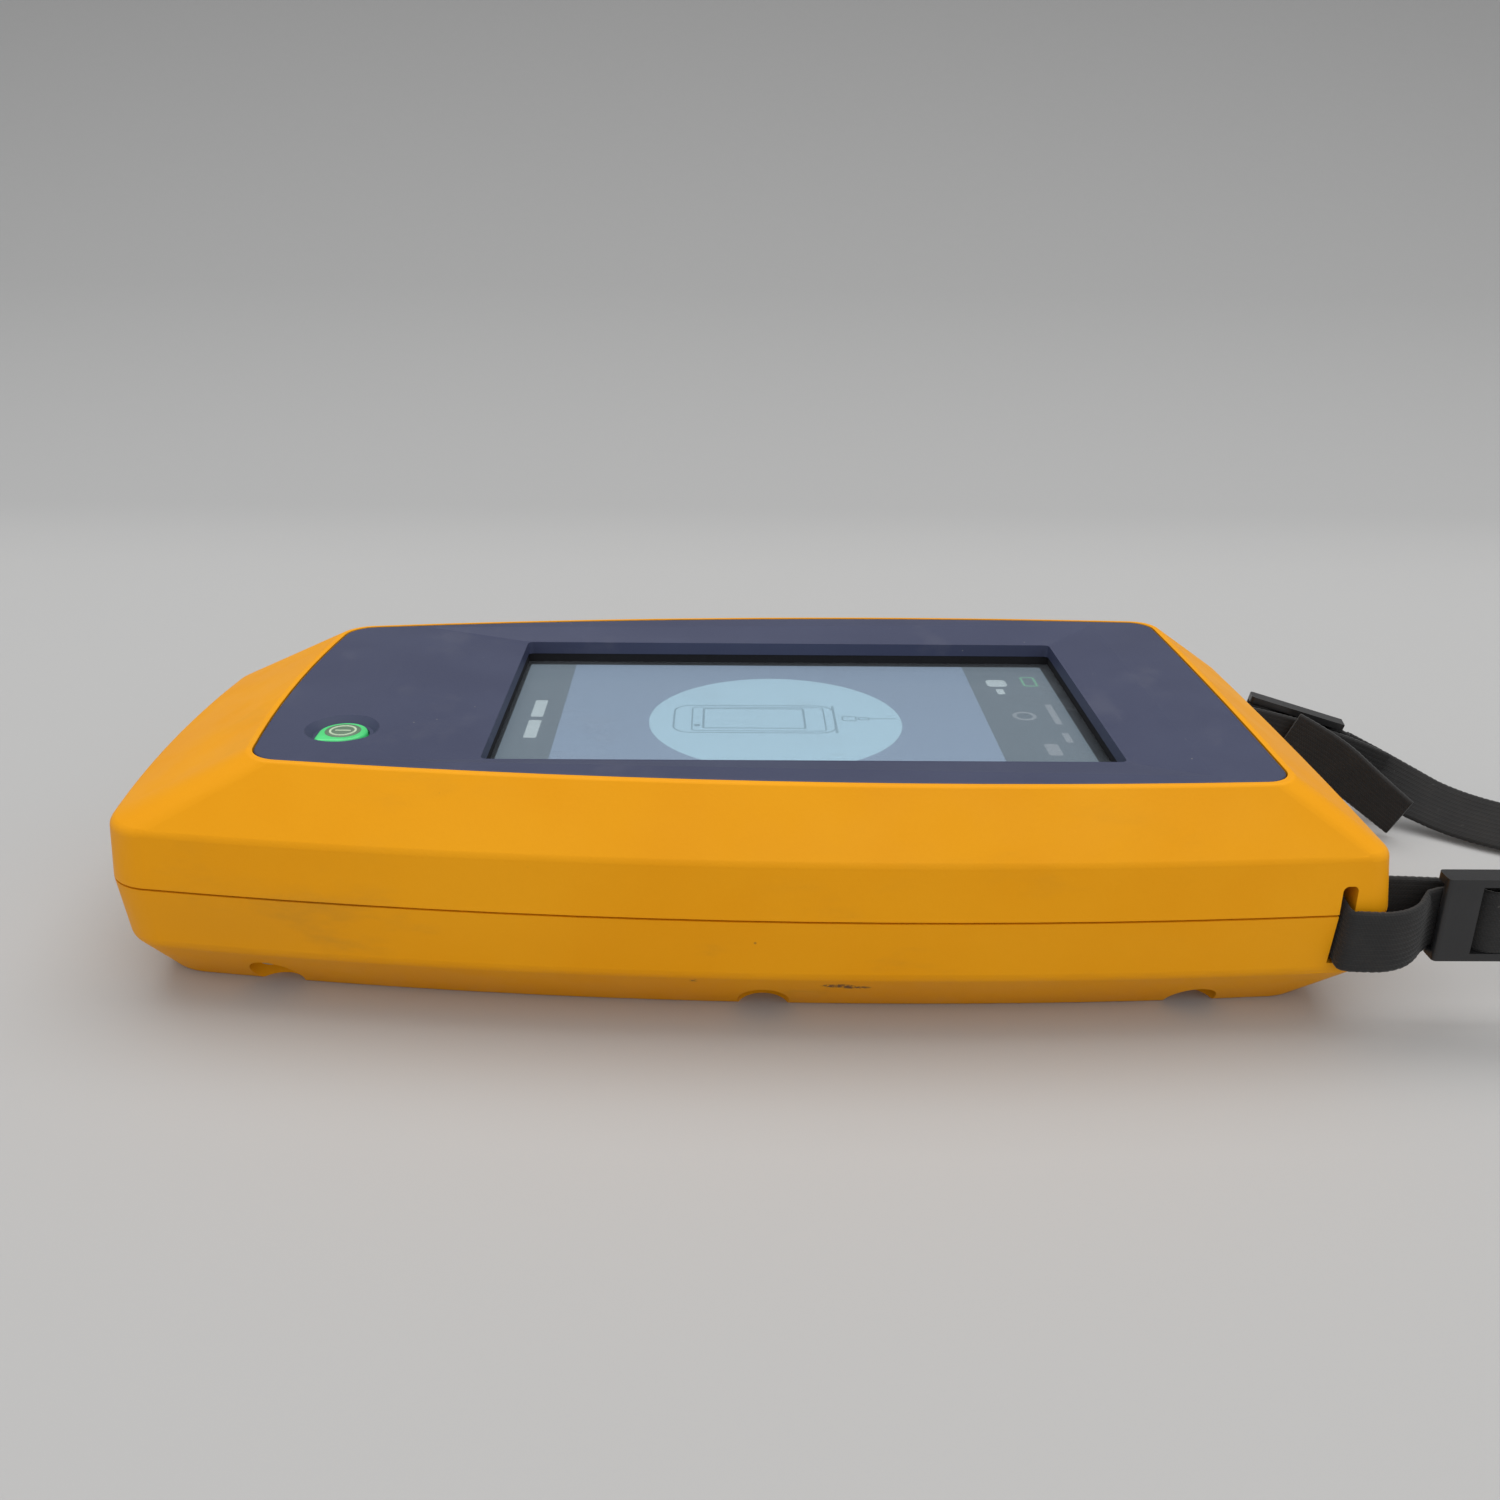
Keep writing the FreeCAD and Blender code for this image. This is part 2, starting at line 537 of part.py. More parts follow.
def webbing(points, radii=None, width=WEB_WIDTH):
    """Flat webbing on edge, swept along a smooth path with its width kept upright."""
    wire, used = smooth_path(points, radii)
    start = Vector(*points[0])
    ahead = Vector(*points[1]) - start
    ahead.normalize()
    sideways = Vector(0, 0, 1).cross(ahead)
    sideways.normalize()
    upward = Vector(0, 0, 1)
    corners = [start + sideways * (s * WEB_THICK / 2) + upward * (u * width / 2)
               for s, u in ((-1, -1), (1, -1), (1, 1), (-1, 1), (-1, -1))]
    sweep = Part.BRepOffsetAPI.MakePipeShell(wire)
    sweep.setBiNormalMode(Vector(0, 0, 1))
    sweep.add(Part.makePolygon(corners))
    sweep.build()
    sweep.makeSolid()
    solid = sweep.shape()
    print("webbing length", round(wire.Length, 1), "radii", used,
          "volume over section x length", round(solid.Volume / (wire.Length * width * WEB_THICK), 3))
    return solid


def buckle():
    """Moulded ladder lock in its own axes: X along the strap, -Y its outer face, Z across the webbing."""
    half = BUCKLE_HEIGHT / 2
    rail = 1.3
    plate = block(0, 5.5, -1.8, 0.0, -half + 0.4, half - 0.4)
    plate = plate.makeFillet(0.8, [e for e in plate.Edges if e.BoundBox.XMax < 0.01])
    rails = []
    for side in (-1, 1):
        z0, z1 = sorted((side * (half - rail), side * half))
        strip = block(0, BUCKLE_LENGTH, -1.8, 1.8, z0, z1)
        nose = [e for e in strip.Edges if e.BoundBox.XMax < 0.01 and e.BoundBox.ZLength > 1]
        rails.append(strip.makeFillet(0.7, nose))
    bar = Part.makeCylinder(BUCKLE_BAR_RADIUS, 2 * half - rail,
                            Vector(BUCKLE_BAR_X, BUCKLE_BAR_Y, -half + rail / 2))
    end_bar = block(BUCKLE_LENGTH - 2.6, BUCKLE_LENGTH, -1.3, 1.3, -half + rail / 2, half - rail / 2)
    end_bar = end_bar.makeFillet(1.1, [e for e in end_bar.Edges if e.BoundBox.ZLength > 5])
    return joined([plate, bar, end_bar] + rails)


# Where each buckle hangs: side, place of its outer end, yaw and downward pitch in degrees
BUCKLE_PLACES = {
    "right": (-1, Vector(106.6, -43.6, 19.7), 0.0, 0.0),
    "left": (1, Vector(105.6, 43.2, 17.8), -12.0, 14.0),
}


def placed_buckle(side, place, yaw, pitch):
    solid = buckle()
    if side > 0:
        solid = solid.mirror(Vector(0, 0, 0), Vector(0, 1, 0))
    solid.rotate(Vector(0, 0, 0), Vector(0, 1, 0), pitch)
    solid.rotate(Vector(0, 0, 0), Vector(0, 0, 1), yaw)
    solid.translate(place)
    return solid


def strap_loop(side, place, yaw, pitch):
    """Webbing that goes round a corner post of the case and round the buckle's middle bar."""
    yaw = math.radians(yaw)
    pitch = math.radians(pitch)
    along = Vector(math.cos(pitch) * math.cos(yaw), math.cos(pitch) * math.sin(yaw), -math.sin(pitch))
    inward = Vector(-math.sin(yaw), math.cos(yaw), 0) * -side

    def by_buckle(x, y):
        point = place + along * x + inward * y
        return (point.x, point.y, point.z)

    def by_post(x, y):
        return (x, side * y, POST_WEB_Z)

    wrap = BUCKLE_BAR_RADIUS + WEB_THICK / 2 + 0.12
    behind_bar = BUCKLE_BAR_Y + wrap
    over_bar = BUCKLE_BAR_Y - wrap
    under_plate = 1.1
    slack = WEB_WIDTH / 2 * math.sin(pitch)
    beyond_bar = BUCKLE_BAR_X + wrap + 1.1 * slack
    outside_post = CASE_HALF_WIDTH - 1.92
    return webbing([
        by_buckle(BUCKLE_BAR_X, behind_bar), by_post(101.0, SLOT_END_Y), by_post(SLOT_X, SLOT_END_Y),
        by_post(SLOT_X, outside_post), by_post(99.5, outside_post), by_buckle(-0.5, under_plate),
        by_buckle(6.3, under_plate), by_buckle(8.4, over_bar), by_buckle(beyond_bar, over_bar),
        by_buckle(beyond_bar, behind_bar), by_buckle(BUCKLE_BAR_X + 0.3, behind_bar),
    ], [4.0, 1.9, 1.9, 3.0, 3.0, 1.4, 1.4, wrap, wrap])


WRIST_STRAP_ROUTE = [
    (126.0, -43.6, 19.7), (143, -45.2, 16.0), (163, -49.5, 10.9), (182, -53, 7.2), (202, -51.5, 5.3),
    (217.5, -41.4, 5.3), (226.2, -25.1, 5.3), (225.9, -6.6, 5.3), (216.6, 9.4, 5.3), (201, 18.9, 5.3),
    (186, 19.2, 5.3), (173, 16, 5.3), (161.5, 16.3, 5.3), (151.5, 21.8, 5.3), (143.5, 28.6, 5.6),
    (135.0, 35.1, 8.8), (125.2, 39.1, 13.0),
]
STRAP_TAIL_ROUTE = [(118.2, 35.2, 13.2), (126, 31.2, 9.0), (133.5, 24, 5.2)]


def round_lead(route, radius):
    wire, used = smooth_path(route)
    ahead = Vector(*route[1]) - Vector(*route[0])
    ring = Part.Wire([Part.Circle(Vector(*route[0]), ahead, radius).toShape()])
    print("lead length", round(wire.Length, 1), "radii", used)
    return wire.makePipeShell([ring], True, False)


save("bottom_case", bottom_case())
save("top_case", top_case())
save("case_gasket", case_gasket())
save("bezel_faceplate", bezel_faceplate())
save("screen_gasket", frame_between(SCREEN_LEFT - 4, SCREEN_RIGHT + 3.4, 33.0,
                                    SCREEN_LEFT - 0.1, SCREEN_RIGHT + 0.1,
                                    SCREEN_HALF + 0.1, TOUCH_TOP_Z, DECK_BOTTOM_Z))
save("touch_panel", block(SCREEN_LEFT - 4.6, SCREEN_RIGHT + 3.4, -33.2, 33.2, 34.4, TOUCH_TOP_Z, 1.0))
save("lcd_panel", lcd_panel())
save("backlight_tray", backlight_tray())
save("display_bracket", display_bracket())
save("display_screws", group([screw_up(x, y, 29.6, 2.2, 1.4, 0.95, 35.6) for x, y in DISPLAY_SCREW_PLACES]))
save("display_flex", display_flex())
save("display_connector", block(SCREEN_LEFT - 5.9, SCREEN_LEFT - 2.4, -11, 11, BOARD_TOP_Z, BOARD_TOP_Z + 2.0).cut(
    block(SCREEN_LEFT - 8, SCREEN_LEFT - 4.9, -10.3, 10.3, BOARD_TOP_Z + 0.7, BOARD_TOP_Z + 1.6)))

save("power_button_cap", power_button_cap())
save("switch_plunger", switch_plunger())
save("power_switch", power_switch())
save("button_board", button_board())
save("button_board_screws", group([screw_up(x, y, 30.4, 1.6, 1.1, 0.75, 36.0)
                                   for x, y in BUTTON_BOARD_SCREW_PLACES]))
save("button_lights", group([block(BUTTON_X + sx - 0.8, BUTTON_X + sx + 0.8, BUTTON_Y + 4.6 * side - 0.4,
                                   BUTTON_Y + 4.6 * side + 0.4, 31.6, 32.3) for sx, side in ((1.4, 1), (-1.4, -1))]))

save("main_board", main_board())
save("processor_shield", block(-24, 8, -15, 15, BOARD_TOP_Z, BOARD_TOP_Z + 2.8, 1.0))
save("board_chips", group([block(x, x + w, y, y + d, BOARD_TOP_Z, BOARD_TOP_Z + h) for x, y, w, d, h in (
    (-40, -14, 11, 8, 1.1), (-40, 2, 11, 8, 1.1), (14, -12, 14, 14, 1.4), (14, 10, 8, 8, 1.0), (34, -8, 10, 10, 1.2))]))
save("network_transformer", block(56, 71, -8, 8, BOARD_TOP_Z, BOARD_TOP_Z + 6.0, 0.4))
save("rj45_shield", rj45_shield())
save("rj45_housing", rj45_housing())
save("rj45_contacts", rj45_contacts())
save("usb_a_shell", usb_shell(USB_A_X, 13.2, 5.8, 14.0))
save("usb_a_tongue", block(USB_A_X - 5.6, USB_A_X + 5.6, USB_FACE_Y - 13.4, USB_FACE_Y - 1.2,
                           BOARD_TOP_Z + 3.0, BOARD_TOP_Z + 4.8))
save("usb_small_shell", usb_shell(USB_SMALL_X, 8.6, 3.4, 7.0))
save("usb_small_tongue", block(USB_SMALL_X - 3.0, USB_SMALL_X + 3.0, USB_FACE_Y - 6.4, USB_FACE_Y - 0.8,
                               BOARD_TOP_Z + 1.4, BOARD_TOP_Z + 2.1))
save("board_screws", group([screw_down(x, y, BOARD_TOP_Z, 2.4, 1.5, 1.15, 14.0)
                            for x, y in BOARD_SCREW_PLACES]))

save("battery_pack", block(-56, 39.6, -29.4, 29.4, 3.6, 17.6, 5.0))
save("battery_pads", group([block(x, x + 16, y, y + 12, 2.4, 3.6) for x in (-50, 18) for y in (-26, 14)]))
save("battery_connector", block(56, 62, 4, 15, 14.9, BOARD_Z))
save("battery_lead", group([round_lead([(39.6, y, 9.5), (48, y, 9.5), (55, y, 8.6), (59, y, 11), (59, y, 14.9)], 0.7)
                            for y in (7.5, 11.5)]))

save("case_screws", group([screw_up(x, y, COUNTERBORE_DEPTH, 2.9, 2.2, 1.5, 27.5) for x, y in SCREW_PLACES]))
save("threaded_inserts", group([rod(x, y, 21.2, 27.2, 2.05).cut(rod(x, y, 20, 30, 1.55))
                                for x, y in SCREW_PLACES]))

for name, where in BUCKLE_PLACES.items():
    save("strap_buckle_" + name, placed_buckle(*where))
    save("strap_loop_" + name, strap_loop(*where))
save("wrist_strap", webbing(WRIST_STRAP_ROUTE))
save("strap_tail", webbing(STRAP_TAIL_ROUTE))
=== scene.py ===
import bpy
import math
import numpy
from mathutils import Matrix, Vector


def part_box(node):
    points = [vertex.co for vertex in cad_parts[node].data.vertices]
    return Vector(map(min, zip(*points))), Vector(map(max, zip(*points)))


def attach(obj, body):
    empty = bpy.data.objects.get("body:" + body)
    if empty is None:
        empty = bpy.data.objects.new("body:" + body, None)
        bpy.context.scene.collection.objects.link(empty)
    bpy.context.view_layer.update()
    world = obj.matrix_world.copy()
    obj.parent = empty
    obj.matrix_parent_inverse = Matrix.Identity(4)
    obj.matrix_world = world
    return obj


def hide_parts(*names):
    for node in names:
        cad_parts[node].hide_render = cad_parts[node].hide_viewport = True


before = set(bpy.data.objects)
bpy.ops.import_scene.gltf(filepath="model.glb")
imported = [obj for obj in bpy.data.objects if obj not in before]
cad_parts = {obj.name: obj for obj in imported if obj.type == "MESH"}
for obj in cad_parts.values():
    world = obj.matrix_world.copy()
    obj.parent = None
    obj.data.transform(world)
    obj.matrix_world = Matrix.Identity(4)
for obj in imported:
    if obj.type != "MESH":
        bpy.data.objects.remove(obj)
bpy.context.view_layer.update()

# ---- Case shells ----
# The two halves of the case, moulded in yellow ABS with a fine spark-eroded grain. Dark grey
# smears lie on them, stronger towards the bottom and at the left front, and the lower edge carries a few
# dark scuffs from bench tops.


class Signal:
    """One value in a finish's node tree. Python's operators on it add Math nodes."""

    def __init__(self, finish, socket):
        self.finish = finish
        self.socket = socket

    def maths(self, operation, *values):
        return self.finish.node("ShaderNodeMath", {"operation": operation}, dict(enumerate(values)))

    def __add__(self, other):
        return self.maths("ADD", self, other)

    def __sub__(self, other):
        return self.maths("SUBTRACT", self, other)

    def __rsub__(self, other):
        return self.maths("SUBTRACT", other, self)

    def __mul__(self, other):
        return self.maths("MULTIPLY", self, other)

    def __truediv__(self, other):
        return self.maths("DIVIDE", self, other)

    def __pow__(self, other):
        return self.maths("POWER", self, other)

    def __abs__(self):
        return self.maths("ABSOLUTE", self)

    def fraction(self):
        return self.maths("FRACT", self)

    def sine(self):
        return self.maths("SINE", self)

    __radd__ = __add__
    __rmul__ = __mul__

    def at_least(self, other):
        return self.maths("MAXIMUM", self, other)

    def at_most(self, other):
        return self.maths("MINIMUM", self, other)

    def ramp(self, low, high):
        """0 up to low, 1 from high on, and smooth between."""
        settings = {"interpolation_type": "SMOOTHSTEP"}
        limits = {"Value": self, "From Min": low, "From Max": high}
        return self.finish.node("ShaderNodeMapRange", settings, limits)


class Finish:
    """A material made of nodes round one Principled shader, with constants on the shader's own sockets."""

    def __init__(self, name, colour, roughness, **constants):
        self.material = bpy.data.materials.new(name)
        self.material.use_nodes = True
        self.tree = self.material.node_tree
        self.shader = self.tree.nodes["Principled BSDF"]
        self.output = self.tree.nodes["Material Output"]
        self.shader.inputs["Base Color"].default_value = (*colour, 1)
        self.shader.inputs["Roughness"].default_value = roughness
        for socket, value in constants.items():
            self.shader.inputs[socket.replace("_", " ")].default_value = value

    def feed(self, value, socket):
        if isinstance(value, Signal):
            self.tree.links.new(value.socket, socket)
        elif socket.type == "RGBA":
            socket.default_value = (*value, 1)
        else:
            socket.default_value = value

    def node(self, kind, settings, inputs, output=0):
        made = self.tree.nodes.new(kind)
        for key, value in settings.items():
            if key == "stops":
                ramp = made.color_ramp.elements
                for place, colour in value[2:]:
                    ramp.new(place)
                for element, (place, colour) in zip(ramp, value):
                    element.position = place
                    element.color = (*colour, 1)
            else:
                setattr(made, key, value)
        for key, value in inputs.items():
            self.feed(value, made.inputs[key])
        return Signal(self, made.outputs[output])

    def surface(self, **sockets):
        """Feeds sockets of the shader that change over the surface."""
        for socket, value in sockets.items():
            self.feed(value, self.shader.inputs[socket.replace("_", " ")])

    def place(self):
        return self.node("ShaderNodeTexCoord", {}, {}, "Object")

    def axes(self):
        place = self.place()
        return [self.node("ShaderNodeSeparateXYZ", {}, {0: place}, axis) for axis in "XYZ"]

    def noise(self, size, detail=2.0, stretch=(1, 1, 1), roughness=0.5):
        """Cloudy noise from 0 to 1, with features of about this size in metres."""
        place = self.node("ShaderNodeVectorMath", {"operation": "DIVIDE"}, {0: self.place(), 1: stretch})
        return self.node("ShaderNodeTexNoise", {}, {"Vector": place, "Scale": 1 / size, "Detail": detail,
                                                    "Roughness": roughness})

    def specks(self, spacing, size):
        """1 in small round specks about this far apart, 0 between them."""
        away = self.node("ShaderNodeTexVoronoi", {}, {"Vector": self.place(), "Scale": 1 / spacing})
        return 1 - away.ramp(0.4 * size / spacing, size / spacing)

    def spot(self, centre, half_size):
        """1 at a place, falling to 0 at an ellipsoid of these half sizes round it."""
        offset = self.node("ShaderNodeVectorMath", {"operation": "SUBTRACT"}, {0: self.place(), 1: centre})
        scaled = self.node("ShaderNodeVectorMath", {"operation": "DIVIDE"}, {0: offset, 1: half_size})
        away = self.node("ShaderNodeVectorMath", {"operation": "LENGTH"}, {0: scaled}, "Value")
        return (1 - away).at_least(0)

    def mix(self, share, first, second):
        return self.node("ShaderNodeMix", {"data_type": "RGBA"}, {0: share, 6: first, 7: second}, 2)

    def relief(self, height, depth):
        """Raises the surface by height, from 0 to 1, times this depth in metres."""
        bump = self.node("ShaderNodeBump", {}, {"Height": height, "Distance": depth, "Strength": 1.0})
        self.surface(Normal=bump)


def dress(finish, *names):
    """Gives carried parts their finish."""
    for name in names:
        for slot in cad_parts[name].material_slots:
            slot.material = finish.material


def case_plastic():
    yellow = Finish("moulded yellow", (0.80, 0.33, 0.004), 0.52, Specular_IOR_Level=0.14)
    _, _, z = yellow.axes()
    cloud = yellow.noise(0.03, 3)
    tone = yellow.mix(cloud.ramp(0.3, 0.75), (0.83, 0.335, 0.002), (0.86, 0.365, 0.005))
    smear = yellow.noise(0.022, 5, (1.8, 1, 0.7), 0.62).ramp(0.56, 0.78)
    # Darker smears, stronger towards the bottom and in a patch at the left front corner.
    low = 1 - z.ramp(0.010, 0.030)
    low_dark_smears = (low * 0.3 + 0.15) * smear + yellow.spot((-0.080, -0.046, 0.016), (0.03, 0.02, 0.010)) * 0.2
    tone = yellow.mix(low_dark_smears.at_most(0.6), tone, (0.42, 0.22, 0.03))
    rubbed = yellow.spot((0.0152, -0.0449, 0.0078), (0.0032, 0.003, 0.0009))
    rubbed = rubbed.at_least(yellow.spot((0.0180, -0.0449, 0.0072), (0.0030, 0.003, 0.0007)))
    rubbed = rubbed.at_least(yellow.spot((-0.0071, -0.0440, 0.0090), (0.0011, 0.003, 0.0009)) * 0.6)
    rubbed = rubbed.at_least(yellow.spot((0.062, 0.0440, 0.0080), (0.0040, 0.003, 0.0008)))
    rubbed = rubbed.at_least(yellow.spot((-0.040, 0.0445, 0.0088), (0.0022, 0.003, 0.0012)))
    ragged = (rubbed.ramp(0.05, 0.5) * yellow.noise(0.0006, 3).ramp(0.35, 0.55)).at_most(0.85)
    tone = yellow.mix(ragged, tone, (0.045, 0.045, 0.055))
    fleck = yellow.specks(0.0075, 0.00034) * yellow.noise(0.02).ramp(0.52, 0.62)
    tone = yellow.mix(fleck * 0.55, tone, (0.16, 0.09, 0.03))
    polish = yellow.noise(0.012, 4).ramp(0.35, 0.7)
    yellow.surface(Base_Color=tone, Roughness=0.46 + polish * 0.12 + ragged * 0.2)
    yellow.relief(yellow.noise(0.00042, 2) * 0.7 + yellow.noise(0.0011, 2) * 0.3, 0.000028)
    return yellow


dress(case_plastic(), "bottom_case", "top_case")

# ---- Parting seal ----
# A black elastomer ring that fills the gap between the shells, squeezed by the case screws. It
# shows as the thin dark line round the case.


def soft_black(name, colour, pore, depth):
    foam = Finish(name, colour, 0.85, Specular_IOR_Level=0.25)
    pores = foam.noise(pore, 4)
    foam.surface(Base_Color=foam.mix(pores, tuple(0.6 * c for c in colour), tuple(1.6 * c for c in colour)),
                 Roughness=0.75 + pores * 0.2)
    foam.relief(pores, depth)
    return foam


dress(soft_black("seal rubber", (0.022, 0.019, 0.016), 0.0006, 0.00004), "case_gasket")

# ---- Circuit boards and chips ----
# The glass-epoxy main board under green solder mask carries the processor under a tin shield,
# memory and power chips, and the network transformer. The button has a small board of its own.

TRACK_PITCH = 0.0016
ROW_PITCH = 0.0021


def board_mask():
    mask = Finish("solder mask", (0.012, 0.10, 0.035), 0.35, Coat_Weight=0.3, Coat_Roughness=0.15)
    x, y, _ = mask.axes()
    lanes = abs((x / TRACK_PITCH).fraction() - 0.5).ramp(0.18, 0.24)
    rows = abs((y / ROW_PITCH).fraction() - 0.5).ramp(0.18, 0.24)
    region = mask.noise(0.009, 1).ramp(0.48, 0.52)
    tracks = (lanes * region).at_least(rows * (1 - region))
    pads = mask.specks(0.0042, 0.00075)
    tone = mask.mix(tracks * 0.7, (0.010, 0.085, 0.030), (0.020, 0.16, 0.055))
    mask.surface(Base_Color=mask.mix(pads, tone, (0.62, 0.60, 0.52)), Metallic=pads * 0.8,
                 Roughness=0.42 - pads * 0.12)
    mask.relief(tracks.at_least(pads), 0.00004)
    return mask


def moulded_black(name, colour, roughness, grain=0.0003, depth=0.00001):
    black = Finish(name, colour, roughness)
    cloud = black.noise(0.006, 4)
    dust = black.specks(0.0035, 0.00016) * black.noise(0.008).ramp(0.45, 0.6)
    tone = black.mix(cloud, tuple(0.75 * c for c in colour), tuple(1.35 * c for c in colour))
    black.surface(Base_Color=black.mix(dust * 0.5, tone, (0.22, 0.21, 0.19)),
                  Roughness=roughness - 0.06 + cloud * 0.14 + dust * 0.2)
    black.relief(black.noise(grain, 2), depth)
    return black


def brushed(name, colour, roughness, stretch=(8, 1, 1)):
    metal = Finish(name, colour, roughness, Metallic=1.0)
    lines = metal.noise(0.0004, 3, stretch)
    stain = metal.noise(0.005, 4).ramp(0.5, 0.8)
    metal.surface(Base_Color=metal.mix(stain * 0.4, colour, tuple(0.55 * c for c in colour)),
                  Roughness=roughness - 0.05 + lines * 0.12 + stain * 0.15)
    metal.relief(lines, 0.000006)
    return metal


part_black = moulded_black("moulded package", (0.020, 0.020, 0.022), 0.45)
tin = brushed("tinned steel", (0.56, 0.56, 0.54), 0.32)
dress(board_mask(), "main_board", "button_board")
dress(part_black, "board_chips", "network_transformer")
dress(tin, "processor_shield")

# ---- Network socket ----
# Eight-way modular socket in the top end: a folded tin shield round a black housing, with
# eight gold-plated spring contacts. It is soldered to the main board and looks out of the shells.

gold = brushed("gold plate", (0.83, 0.60, 0.22), 0.22)
dress(tin, "rj45_shield")
dress(part_black, "rj45_housing")
dress(gold, "rj45_contacts")

# ---- USB sockets ----
# One full-size and one small socket in the left side: drawn steel shells round moulded black
# tongues. Both are soldered to the main board.

dress(tin, "usb_a_shell", "usb_small_shell")
dress(part_black, "usb_a_tongue", "usb_small_tongue")

# ---- Battery ----
# Lithium pack in blue shrink wrap on four foam pads in the lower shell. A red two-wire lead goes
# from it to its white nylon connector.


def shrink_wrap(name, colour):
    wrap = Finish(name, colour, 0.32, Coat_Weight=0.25)
    folds = wrap.noise(0.004, 3, (3, 1, 1))
    wrap.surface(Base_Color=wrap.mix(folds, tuple(0.8 * c for c in colour), tuple(1.25 * c for c in colour)),
                 Roughness=0.26 + folds * 0.18)
    wrap.relief(folds, 0.00008)
    return wrap


dress(shrink_wrap("battery wrap", (0.03, 0.09, 0.27)), "battery_pack")
dress(soft_black("pad foam", (0.05, 0.05, 0.05), 0.0012, 0.00012), "battery_pads")
dress(shrink_wrap("red lead", (0.42, 0.02, 0.015)), "battery_lead")
dress(moulded_black("white nylon", (0.70, 0.68, 0.62), 0.5), "battery_connector")

# ---- Display ----
# A colour liquid crystal panel in a steel tray on a moulded bracket, with an amber ribbon to the
# main board, under a touch glass that foam seals to the faceplate. It shows the connect picture.

BAR_LEFT_X = -0.0314
BAR_RIGHT_X = 0.0440
CIRCLE = (0.0065, 0.0, 0.02225)
EDGE_SOFTNESS = 0.00012


def picture_shape(x, y, centre, half, corner, line=0.0):
    """1 inside a rounded box, or on its outline where a line width is given."""
    across = (abs(x - centre[0]) - (half[0] - corner)).at_least(0)
    up = (abs(y - centre[1]) - (half[1] - corner)).at_least(0)
    away = (across ** 2 + up ** 2) ** 0.5 - corner
    if line:
        away = abs(away) - line / 2
    return 1 - away.ramp(-EDGE_SOFTNESS, EDGE_SOFTNESS)


def shapes_together(shapes):
    joined = shapes[0]
    for shape in shapes[1:]:
        joined = joined.at_least(shape)
    return joined


def lit_picture():
    panel = Finish("lit display", (0.05, 0.06, 0.07), 0.35, Emission_Strength=1.3)
    x, y, _ = panel.axes()

    def box(*sizes):
        return picture_shape(x, y, *sizes)

    ground = panel.mix(y.ramp(-0.03, 0.03), (0.182, 0.240, 0.322), (0.170, 0.224, 0.300))
    disc = box(CIRCLE[:2], (CIRCLE[2], CIRCLE[2]), CIRCLE[2])
    tone = panel.mix(disc, ground, (0.283, 0.413, 0.494))
    drawing = shapes_together([
        box((0.0028, 0.0008), (0.0142, 0.0067), 0.0030, 0.00035),
        box((0.0035, 0.0008), (0.0117, 0.0058), 0.0008, 0.00028),
        box((0.0027, 0.0011), (0.0089, 0.0048), 0.0003, 0.00040),
        box((0.0170, 0.0008), (0.0001, 0.0067), 0.0001, 0.00025),
        box((-0.0073, -0.0024), (0.0006, 0.0006), 0.0006),
        box((0.0196, 0.0012), (0.0012, 0.0010), 0.0003, 0.00030),
        box((0.0222, 0.0012), (0.0009, 0.0006), 0.0002, 0.00030),
        box((0.0256, 0.0012), (0.0022, 0.0001), 0.0001, 0.00020),
    ])
    tone = panel.mix(drawing * 0.50, tone, (0.06, 0.09, 0.12))
    bars = (1 - x.ramp(BAR_LEFT_X - EDGE_SOFTNESS, BAR_LEFT_X + EDGE_SOFTNESS)).at_least(
        x.ramp(BAR_RIGHT_X - EDGE_SOFTNESS, BAR_RIGHT_X + EDGE_SOFTNESS))
    tone = panel.mix(bars, tone, (0.110, 0.141, 0.168))
    pale = shapes_together([
        box((-0.0357, 0.0055), (0.0011, 0.0042), 0.0003), box((-0.0357, -0.0046), (0.0011, 0.0042), 0.0003),
        box((0.0492, 0.0205), (0.0019, 0.0019), 0.0010), box((0.0492, 0.0158), (0.0007, 0.0014), 0.0003),
    ])
    tone = panel.mix(pale * 0.55, tone, (0.50, 0.58, 0.60))
    faint = shapes_together([
        box((0.0512, 0.0030), (0.0018, 0.0018), 0.0018, 0.0007),
        box((0.0530, -0.0130), (0.0012, 0.0026), 0.0006),
        box((0.0566, 0.0040), (0.0006, 0.0050), 0.0003), box((0.0566, -0.0075), (0.0006, 0.0022), 0.0003),
    ])
    tone = panel.mix(faint * 0.22, tone, (0.50, 0.52, 0.55))
    charge = box((0.0556, 0.0215), (0.0012, 0.0024), 0.0003, 0.0004)
    tone = panel.mix(charge * 0.5, tone, (0.16, 0.50, 0.26))
    seen = box((0.0096, 0.0), (0.0498, 0.0300), 0.0004)
    panel.surface(Base_Color=panel.mix(0.7, tone, (0.0, 0.0, 0.0)),
                  Emission_Color=panel.mix(seen, (0.002, 0.002, 0.002), tone),
                  Roughness=0.3 + panel.noise(0.02) * 0.1)
    panel.relief(panel.noise(0.0001, 1), 0.000002)
    return panel


